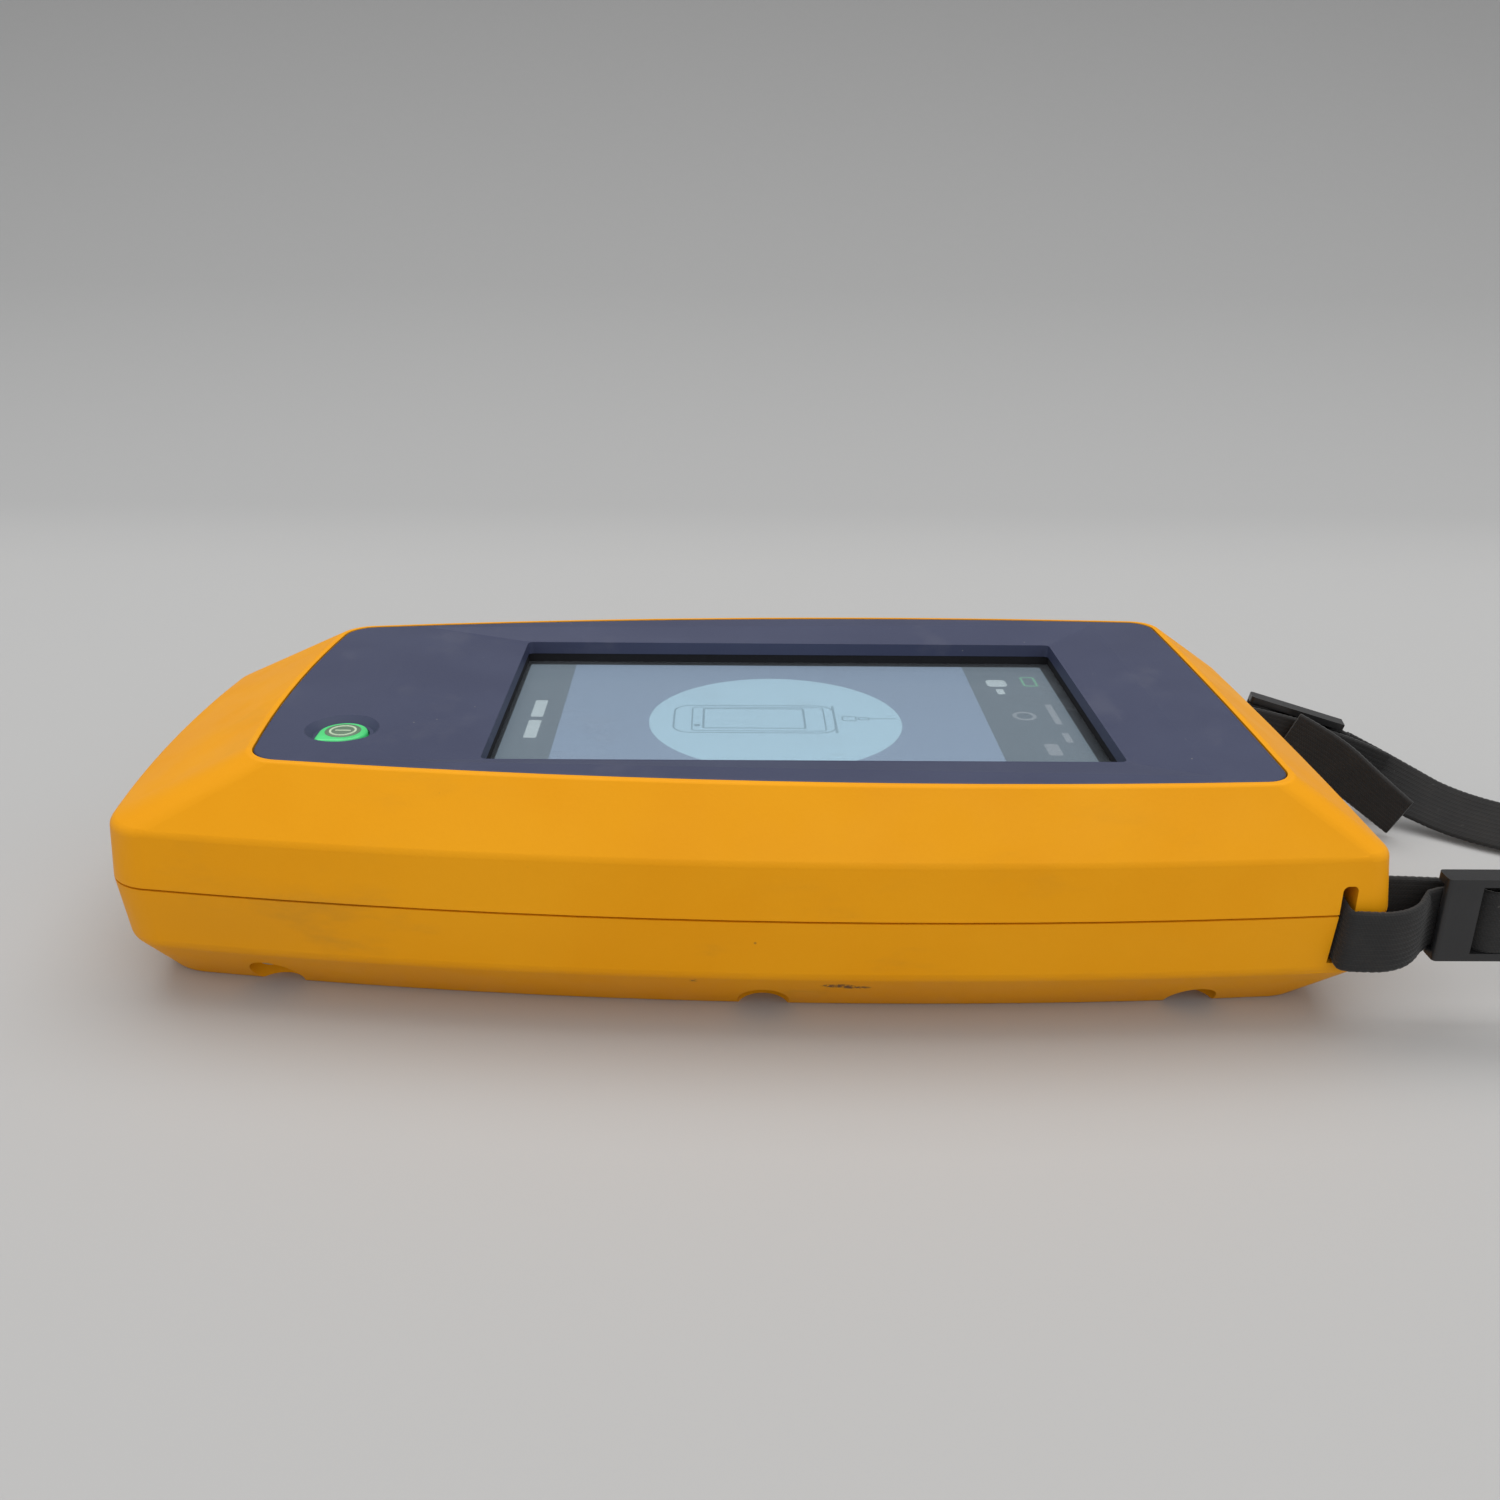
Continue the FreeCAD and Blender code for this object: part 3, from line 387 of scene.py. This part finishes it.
def touch_glass():
    """Clear at a square look, glossy at a slant, and milky where fingers have touched it."""
    glass = Finish("touch glass", (0.30, 0.33, 0.37), 0.12, Specular_IOR_Level=0.6)
    clear = glass.node("ShaderNodeBsdfTransparent", {}, {"Color": (0.97, 0.98, 0.98)})
    smudge = glass.noise(0.010, 5, (1.6, 1, 1), 0.6).ramp(0.50, 0.72) * glass.noise(0.03).ramp(0.35, 0.6)
    streak = glass.noise(0.0015, 3, (9, 1.2, 1)).ramp(0.60, 0.74) * glass.noise(0.016).ramp(0.52, 0.66)
    fleck = glass.specks(0.0052, 0.00022) * glass.noise(0.012).ramp(0.5, 0.6)
    slant = glass.node("ShaderNodeFresnel", {}, {"IOR": 1.48})
    share = (slant * 0.85 + smudge * 0.07 + streak * 0.06 + fleck * 0.35).at_most(1)
    glass.surface(Roughness=0.08 + smudge * 0.25 + streak * 0.2)
    glossy = Signal(glass, glass.shader.outputs[0])
    both = glass.node("ShaderNodeMixShader", {}, {0: share, 1: clear, 2: glossy})
    glass.feed(both, glass.output.inputs["Surface"])
    return glass


dress(tin, "backlight_tray")
dress(lit_picture(), "lcd_panel")
dress(part_black, "display_bracket", "display_connector")
dress(shrink_wrap("amber ribbon", (0.42, 0.17, 0.02)), "display_flex")
dress(touch_glass(), "touch_panel")
dress(soft_black("screen foam", (0.010, 0.010, 0.012), 0.0005, 0.00005), "screen_gasket")

# ---- Faceplate ----
# Slate-blue moulding that snaps into the upper shell. Its satin face dishes down to the screen
# in four soft planes and carries fingermarks and dust along its borders.


def slate_plastic():
    slate = Finish("slate plastic", (0.036, 0.043, 0.088), 0.48, Specular_IOR_Level=0.3)
    cloud = slate.noise(0.02, 4)
    tone = slate.mix(cloud.ramp(0.3, 0.7), (0.044, 0.052, 0.102), (0.051, 0.060, 0.113))
    thumbed = slate.noise(0.011, 5, (1, 1.6, 1), 0.6).ramp(0.55, 0.75)
    dust = slate.specks(0.0036, 0.00018) * slate.noise(0.01).ramp(0.45, 0.62)
    tone = slate.mix(thumbed * 0.10, tone, (0.20, 0.20, 0.22))
    slate.surface(Base_Color=slate.mix(dust * 0.6, tone, (0.36, 0.35, 0.34)),
                  Roughness=0.46 + cloud * 0.06 + thumbed * 0.10 + dust * 0.2)
    slate.relief(slate.noise(0.00036, 2) * 0.8 + slate.noise(0.0015, 2) * 0.2, 0.000022)
    return slate


dress(slate_plastic(), "bezel_faceplate")

# ---- Power button ----
# Petal-shaped cap in translucent green over two lights, on a tactile switch. A grey disc with a
# pale ring and bar, the usual on-off sign, is printed proud on its face.

BUTTON_CENTRE = Vector((-0.0638, -0.0205, 0))
BUTTON_TOP_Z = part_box("power_button_cap")[1][2]
DISC_RADIUS = 0.00285
RING_RADIUS = 0.00200
RING_LINE = 0.00042


def glowing_green():
    green = Finish("green cap", (0.05, 0.50, 0.14), 0.38, Emission_Strength=0.35, Coat_Weight=0.2)
    cloud = green.noise(0.003, 3)
    tone = green.mix(cloud, (0.045, 0.46, 0.13), (0.075, 0.58, 0.19))
    # Painted light: the cap gives off green light of its own, as emission.
    painted_glow = green.mix(cloud.ramp(0.35, 0.7), (0.02, 0.42, 0.10), (0.05, 0.60, 0.17))
    green.surface(Base_Color=tone, Emission_Color=painted_glow, Roughness=0.32 + cloud * 0.12)
    green.relief(green.noise(0.0004, 2), 0.00001)
    return green


def turned_piece(name, profile, centre, finish, turns=64):
    """A round solid from a closed profile of (radius, height) pairs, with its axis upright."""
    points = [(centre[0] + r * math.cos(a), centre[1] + r * math.sin(a), centre[2] + h)
              for a in (2 * math.pi * i / turns for i in range(turns)) for r, h in profile]
    count = len(profile)
    faces = [(i * count + j, (i + 1) % turns * count + j, (i + 1) % turns * count + (j + 1) % count,
              i * count + (j + 1) % count) for i in range(turns) for j in range(count)]
    mesh = bpy.data.meshes.new(name)
    mesh.from_pydata(points, [], faces)
    return placed(name, mesh, finish)


def placed(name, mesh, finish, smooth=40):
    """Puts a mesh in the scene with its finish, and smooths all but its sharp edges."""
    piece = bpy.data.objects.new(name, mesh)
    bpy.context.collection.objects.link(piece)
    mesh.materials.append(finish.material)
    mesh.validate()
    mesh.shade_smooth()
    mesh.set_sharp_from_angle(angle=math.radians(smooth))
    return piece


def printed(name, colour):
    ink = Finish(name, colour, 0.5)
    worn = ink.noise(0.0006, 3)
    ink.surface(Base_Color=ink.mix(worn, tuple(0.85 * c for c in colour), tuple(1.12 * c for c in colour)),
                Roughness=0.42 + worn * 0.2)
    ink.relief(worn, 0.000006)
    return ink


dress(part_black, "power_switch", "switch_plunger")
dress(printed("light lens", (0.8, 0.85, 0.8)), "button_lights")
dress(glowing_green(), "power_button_cap")
disc_ink = printed("disc grey", (0.12, 0.20, 0.13))
sign_ink = printed("sign pale", (0.52, 0.66, 0.46))
face = Vector((BUTTON_CENTRE.x, BUTTON_CENTRE.y, BUTTON_TOP_Z))
disc = turned_piece("button_disc", [(0.0001, -0.0001), (DISC_RADIUS, -0.0001), (DISC_RADIUS, 0.00002),
                                    (DISC_RADIUS - 0.00006, 0.00006), (0.0001, 0.00008)], face, disc_ink)
ring = turned_piece("button_ring", [(RING_RADIUS - RING_LINE / 2, 0.00002),
                                    (RING_RADIUS + RING_LINE / 2, 0.00002),
                                    (RING_RADIUS + RING_LINE / 2 - 0.00005, 0.00013),
                                    (RING_RADIUS - RING_LINE / 2 + 0.00005, 0.00013)], face, sign_ink)


def sign_bar():
    """The short bar inside the ring, with chamfered ends and top."""
    half, line, low, high = 0.00128, 0.00019, 0.00004, 0.00013
    outline = [(-half, -line), (half, -line), (half, line), (-half, line)]
    points = [(face.x + x * k, face.y + y * k, face.z + z)
              for z, k in ((low, 1), (high, 0.92)) for x, y in outline]
    faces = [(3, 2, 1, 0), (4, 5, 6, 7)] + [(i, (i + 1) % 4, (i + 1) % 4 + 4, i + 4) for i in range(4)]
    mesh = bpy.data.meshes.new("button_bar")
    mesh.from_pydata(points, [], faces)
    return placed("button_bar", mesh, sign_ink)


for sign in (disc, ring, sign_bar()):
    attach(sign, "power_button")

# ---- Screws and inserts ----
# Zinc-plated machine screws hold the shells, the display and the boards. The case screws bite in
# brass inserts that are set in the upper shell's bosses.

zinc = brushed("zinc plate", (0.50, 0.50, 0.47), 0.36, (1, 1, 5))
dress(zinc, "case_screws", "display_screws", "board_screws", "button_board_screws")
dress(brushed("brass", (0.70, 0.48, 0.20), 0.3), "threaded_inserts")

# ---- Strap buckles ----
# Two moulded black acetal ladder locks, a little glossy. Each has a plate, two side rails, a
# middle bar for the adjustable loop and an end bar for the sewn wrist strap.

dress(moulded_black("buckle acetal", (0.016, 0.016, 0.017), 0.33, 0.0009, 0.00002),
      "strap_buckle_right", "strap_buckle_left")

# ---- Webbing ----
# Ten-millimetre black polypropylene webbing. One loop passes through each corner slot of the
# case, round its post and round a buckle's middle bar. The wrist strap is sewn to the end bars,
# lies on the table in one open loop, and its loose end comes out of the left buckle.

WEB_WIDTH = 0.010
RIB_WIDTH = 0.0009
WEFT_PITCH = 0.0011
THREAD_PITCH = 0.00030
TWIST_PITCH = 0.0005
STEP = 0.0004


def webbing_finish():
    web = Finish("woven black", (0.016, 0.016, 0.017), 0.78, Specular_IOR_Level=0.3, Sheen_Weight=0.12,
                 Sheen_Roughness=0.5)
    along = web.node("ShaderNodeAttribute", {"attribute_name": "along"}, {}, "Fac")
    across = web.node("ShaderNodeAttribute", {"attribute_name": "across"}, {}, "Fac")
    threads = (across * (math.tau / THREAD_PITCH)).sine() * 0.5 + 0.5
    twist = ((along + across * 0.6) * (math.tau / TWIST_PITCH)).sine() * 0.5 + 0.5
    lint = web.noise(0.0005, 3, (3, 1, 1)).ramp(0.66, 0.75) * web.noise(0.006).ramp(0.5, 0.65)
    tone = web.mix(web.noise(0.004, 4), (0.012, 0.012, 0.013), (0.024, 0.023, 0.022))
    web.surface(Base_Color=web.mix(lint * 0.35, tone, (0.16, 0.15, 0.14)), Roughness=0.68 + threads * 0.15)
    web.relief(threads * 0.6 + twist * 0.4, 0.00005)
    return web


def smooth_line(name, route):
    """The smooth line that a webbing route's points, in metres, pull into shape."""
    curve = bpy.data.curves.new(name + "_line", "CURVE")
    curve.dimensions = "3D"
    curve.resolution_u = 16
    spline = curve.splines.new("NURBS")
    spline.points.add(len(route) - 1)
    for point, place in zip(spline.points, route):
        point.co = (*place, 1)
    spline.order_u = 3
    spline.use_endpoint_u = True
    guide = bpy.data.objects.new(name + "_line", curve)
    line = [vertex.co.copy() for vertex in bpy.data.meshes.new_from_object(guide).vertices]
    bpy.data.objects.remove(guide)
    return line


def woven_strap(name, line, finish, lean=((0, 0), (1, 0)), step=STEP):
    """Ribbed webbing on edge along a line, leaning outward by degrees given at fractions of its length."""
    line = numpy.array(line)
    gaps = numpy.linalg.norm(numpy.diff(line, axis=0), axis=1)
    run = numpy.concatenate(([0], numpy.cumsum(gaps)))
    count = max(8, int(run[-1] / step))
    along = numpy.linspace(0, run[-1], count + 1)
    spine = numpy.stack([numpy.interp(along, run, line[:, k]) for k in range(3)], axis=1)
    ahead = numpy.gradient(spine, axis=0)
    ahead /= numpy.linalg.norm(ahead, axis=1)[:, None]
    side = numpy.cross(ahead, (0, 0, 1))
    side /= numpy.linalg.norm(side, axis=1)[:, None]
    up = numpy.cross(side, ahead)
    fractions, degrees = zip(*lean)
    turn = numpy.radians(numpy.interp(along / run[-1], fractions, degrees))[:, None]
    up, side = up * numpy.cos(turn) + side * numpy.sin(turn), side * numpy.cos(turn) - up * numpy.sin(turn)
    ribs = round(WEB_WIDTH / RIB_WIDTH)
    columns = 3 * ribs + 1
    across = numpy.linspace(-0.5, 0.5, columns)
    rib = numpy.floor((across + 0.5) * ribs * 0.999).astype(int)
    crown = numpy.abs(numpy.sin(math.pi * (across + 0.5) * ribs)) ** 0.6
    edge = 1 - 0.45 * (2 * numpy.abs(across)) ** 14
    weft = numpy.abs(numpy.sin(math.pi * along / WEFT_PITCH))
    width = WEB_WIDTH + 0.00022 * weft
    rings = []
    for face in (1, -1):
        stagger = 0.5 * (rib + (face < 0)) % 1
        float_over = numpy.abs(numpy.sin(math.pi * (along[:, None] / WEFT_PITCH + stagger)))
        height = (0.00052 + 0.00013 * crown * (0.3 + 0.7 * float_over)) * edge
        points = (spine[:, None] + up[:, None] * (across[None, :, None] * width[:, None, None])
                  + side[:, None] * (face * height[:, :, None]))
        rings.append(points if face > 0 else points[:, ::-1])
    points = numpy.concatenate(rings, axis=1)
    size = 2 * columns
    here = numpy.arange(count)[:, None] * size
    now = numpy.arange(size)
    following = (now + 1) % size
    quads = numpy.stack([here + now, here + following, here + following + size, here + now + size], axis=-1)
    ends = [(base + j, base + size - 1 - j, base + size - 2 - j, base + j + 1)[::order]
            for base, order in ((0, 1), (count * size, -1)) for j in range(columns - 1)]
    mesh = bpy.data.meshes.new(name)
    mesh.from_pydata(points.reshape(-1, 3).tolist(), [], quads.reshape(-1, 4).tolist() + ends)
    both = numpy.concatenate((across, across[::-1])) * WEB_WIDTH
    for label, values in (("along", numpy.repeat(along, size)), ("across", numpy.tile(both, count + 1))):
        mesh.attributes.new(label, "FLOAT", "POINT").data.foreach_set("value", values.astype(numpy.float32))
    return placed(name, mesh, finish, 60)


def buckle_axes(side, corner, yaw, pitch):
    """A way to place a buckle's own (along, inward, drop) millimetres, from angles in degrees."""
    yaw, pitch = math.radians(yaw), math.radians(pitch)
    along = Vector((math.cos(pitch) * math.cos(yaw), math.cos(pitch) * math.sin(yaw), -math.sin(pitch)))
    inward = Vector((-math.sin(yaw), math.cos(yaw), 0)) * -side
    return lambda x, y, drop=0.0: (Vector(corner) + along * x + inward * y - Vector((0, 0, drop))) / 1000


web = webbing_finish()
# Each buckle's side, its corner in millimetres, its yaw and pitch, and how low the webbing sits in it.
BUCKLES = {
    "right": (-1, (106.6, -43.6, 19.7), 0.0, 0.0, 0.6),
    "left": (1, (105.6, 43.2, 17.8), -12.0, 14.0, -0.6),
}
for hand, (side, corner, yaw, pitch, sunk) in BUCKLES.items():
    by_buckle = buckle_axes(side, corner, yaw, pitch)

    def by_post(x, y, z):
        return Vector((x, side * y, z)) / 1000

    loop = [
        by_buckle(11.5, 2.67, sunk), by_buckle(5.0, 3.4, sunk),
        by_post(101.4, 38.8, 18.9), by_post(94.2, 38.8, 18.8), by_post(91.6, 38.8, 18.6),
        by_post(91.6, 41.4, 18.2), by_post(91.6, 44.7, 17.6), by_post(91.6, 47.15, 17.2),
        by_post(94.2, 47.3, 17.1), by_post(98.6, 47.3, 17.0), by_post(102.6, 45.9, 17.4),
        by_buckle(-0.8, 1.3, sunk + 1.0), by_buckle(2.0, 1.1, sunk), by_buckle(5.8, 1.1, sunk),
        by_buckle(7.8, -1.27, sunk), by_buckle(10.5, -1.27, sunk), by_buckle(13.5, -1.27, sunk),
        by_buckle(13.5, 0.7, sunk), by_buckle(13.5, 2.67, sunk), by_buckle(11.8, 2.67, sunk),
    ]
    name = "webbing_loop_" + hand
    piece = woven_strap(name, smooth_line(name, loop), web)
    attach(piece, "case")
    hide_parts("strap_loop_" + hand)

STRAP_ROUTE = [
    (0.1260, -0.0436, 0.0197), (0.1430, -0.0452, 0.0160), (0.1630, -0.0495, 0.0105),
    (0.1820, -0.0530, 0.0064), (0.2020, -0.0515, 0.0044), (0.2175, -0.0414, 0.0044),
    (0.2262, -0.0251, 0.0044), (0.2259, -0.0066, 0.0044), (0.2166, 0.0094, 0.0044),
    (0.2010, 0.0189, 0.0044), (0.1860, 0.0192, 0.0044), (0.1730, 0.0160, 0.0044),
    (0.1615, 0.0163, 0.0044), (0.1515, 0.0218, 0.0045), (0.1435, 0.0286, 0.0052),
    (0.1350, 0.0351, 0.0086), (0.1252, 0.0391, 0.0130),
]
STRAP_LEAN = ((0, 0), (0.06, 2), (0.25, 42), (0.78, 50), (0.92, 48), (1, 14))
TAIL_ROUTE = [
    (0.1135, 0.0366, 0.0181), (0.1205, 0.0338, 0.0150), (0.1280, 0.0292, 0.0092),
    (0.1335, 0.0235, 0.0052),
]
line = smooth_line("wrist_webbing", STRAP_ROUTE)
wrist = woven_strap("wrist_webbing", line, web, STRAP_LEAN)
tail = woven_strap("webbing_tail", smooth_line("webbing_tail", TAIL_ROUTE), web, ((0, 0), (1, 12)))
sewn_ends = []
for hand, (side, corner, yaw, pitch, _) in BUCKLES.items():
    by_buckle = buckle_axes(side, corner, yaw, pitch)
    fold = [by_buckle(29.5, 1.5, 1.2), by_buckle(23.5, 1.6, 0.4), by_buckle(20.0, 2.1), by_buckle(17.4, 2.1),
            by_buckle(16.1, 1.7), by_buckle(16.05, 0), by_buckle(16.1, -1.7), by_buckle(17.4, -2.05),
            by_buckle(19.8, -1.6), by_buckle(22.0, -0.4)]
    name = "sewn_fold_" + hand
    fold_piece = woven_strap(name, smooth_line(name, fold), web)
    sewn_ends.append(fold_piece)
for piece in (wrist, tail, *sewn_ends):
    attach(piece, "case")
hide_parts("wrist_strap")
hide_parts("strap_tail")

# ---- Table, light and camera ----
# Seamless pale grey paper that sweeps up behind the part, with painted shade that darkens it as it
# rises, one wide soft light overhead and a little behind, and a room's even light. The camera looks
# across the part's right side from above.

# Height over which the painted shade darkens the paper.
SHADE_HEIGHT = 0.24


def paper_sweep():
    """A floor that curves up into a wall, as one sheet, darkened by painted shade as it rises."""
    start, radius, wall_top, half_width = 0.20, 0.62, 1.5, 2.4
    profile = [(-2.0, 0.0), (start, 0.0)]
    profile += [(start + radius * math.sin(a), radius - radius * math.cos(a))
                for a in (math.radians(3 * i) for i in range(1, 31))]
    profile.append((start + radius, wall_top))
    points = [(x, y, z) for y, z in profile for x in (-half_width, half_width)]
    faces = [(2 * i, 2 * i + 1, 2 * i + 3, 2 * i + 2) for i in range(len(profile) - 1)]
    mesh = bpy.data.meshes.new("paper_sweep")
    mesh.from_pydata(points, [], faces)
    paper = Finish("grey paper", (0.60, 0.60, 0.60), 0.85, Specular_IOR_Level=0.2)
    _, _, z = paper.axes()
    # Painted shade: the paper's colour darkens with height, up the curve and the wall.
    shade = paper.node("ShaderNodeValToRGB", {"stops": [
        (0.0, (0.470, 0.469, 0.467)), (0.03, (0.40, 0.40, 0.40)),
        (0.30, (0.32, 0.32, 0.32)), (1.0, (0.24, 0.24, 0.24)),
    ]}, {"Fac": z / SHADE_HEIGHT})
    fibre = paper.noise(0.004, 4)
    paper.surface(Base_Color=paper.mix(fibre * 0.03, shade, (0.45, 0.45, 0.45)))
    return placed("paper_sweep", mesh, paper)


paper_sweep()

overhead = bpy.data.lights.new("overhead", "AREA")
overhead.shape = "RECTANGLE"
overhead.size = 1.6
overhead.size_y = 1.0
overhead.energy = 9.2
overhead.color = (1.0, 0.995, 0.985)
lamp = bpy.data.objects.new("overhead", overhead)
bpy.context.collection.objects.link(lamp)
lamp.location = (0.0, 0.28, 1.12)
lamp.rotation_euler = (math.radians(-14), 0, 0)

front = bpy.data.lights.new("front", "AREA")
front.shape = "RECTANGLE"
front.size = 1.4
front.size_y = 0.9
front.energy = 4.2
front.color = (1.0, 0.99, 0.97)
lamp = bpy.data.objects.new("front", front)
bpy.context.collection.objects.link(lamp)
lamp.location = (0.28, -1.08, 0.85)
lamp.rotation_euler = (math.radians(52), 0, math.radians(15))

room = bpy.data.worlds.new("room")
bpy.context.scene.world = room
room.use_nodes = True
room.node_tree.nodes["Background"].inputs["Color"].default_value = (0.98, 0.99, 1.0, 1)
room.node_tree.nodes["Background"].inputs["Strength"].default_value = 0.66

CAMERA_PLACE = (-0.00281, -0.23425, 0.12393)
YAW, PITCH, ROLL = -0.0208, 0.3858, 0.0131
right = Vector((math.cos(YAW), math.sin(YAW), 0))
ahead = Vector((-math.sin(YAW) * math.cos(PITCH), math.cos(YAW) * math.cos(PITCH), -math.sin(PITCH)))
up = right.cross(ahead)
across = right * math.cos(ROLL) + up * math.sin(ROLL)
upward = up * math.cos(ROLL) - right * math.sin(ROLL)
lens = bpy.data.cameras.new("camera")
lens.lens = 34.12
lens.sensor_width = 36
camera = bpy.data.objects.new("camera", lens)
bpy.context.collection.objects.link(camera)
turned = Matrix((across, upward, -ahead)).transposed().to_4x4()
camera.matrix_world = Matrix.Translation(CAMERA_PLACE) @ turned
bpy.context.scene.camera = camera
bpy.context.scene.view_settings.view_transform = "Standard"

bpy.context.view_layer.update()
